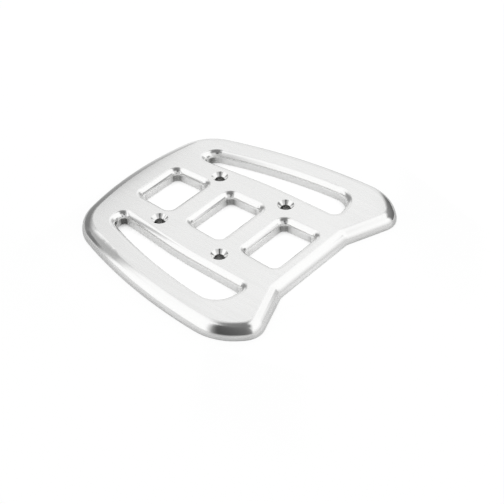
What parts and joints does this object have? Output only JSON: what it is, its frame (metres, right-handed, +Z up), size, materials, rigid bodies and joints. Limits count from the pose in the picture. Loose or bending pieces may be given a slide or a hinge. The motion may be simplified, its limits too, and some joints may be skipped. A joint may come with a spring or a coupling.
{
  "type": "motorcycle luggage rack plate",
  "caption": "Flat luggage rack plate for the back of a motorcycle, with a bowed rear, flared front horns, rounded edges, windows, strap slots and countersunk screw holes.",
  "frame": {"origin": "middle of the plate's box, on the underside", "axes": "+X to the front, where the edge is set back between the horns; +Y to the left; +Z up, out of the deck"},
  "size_m": [0.2448, 0.2646, 0.0127],
  "materials": {
    "satin_aluminium": "satin deck with polished round-overs"
  },
  "bodies": {
    "root": {"rack_plate": "satin_aluminium"}
  },
  "joints": []
}
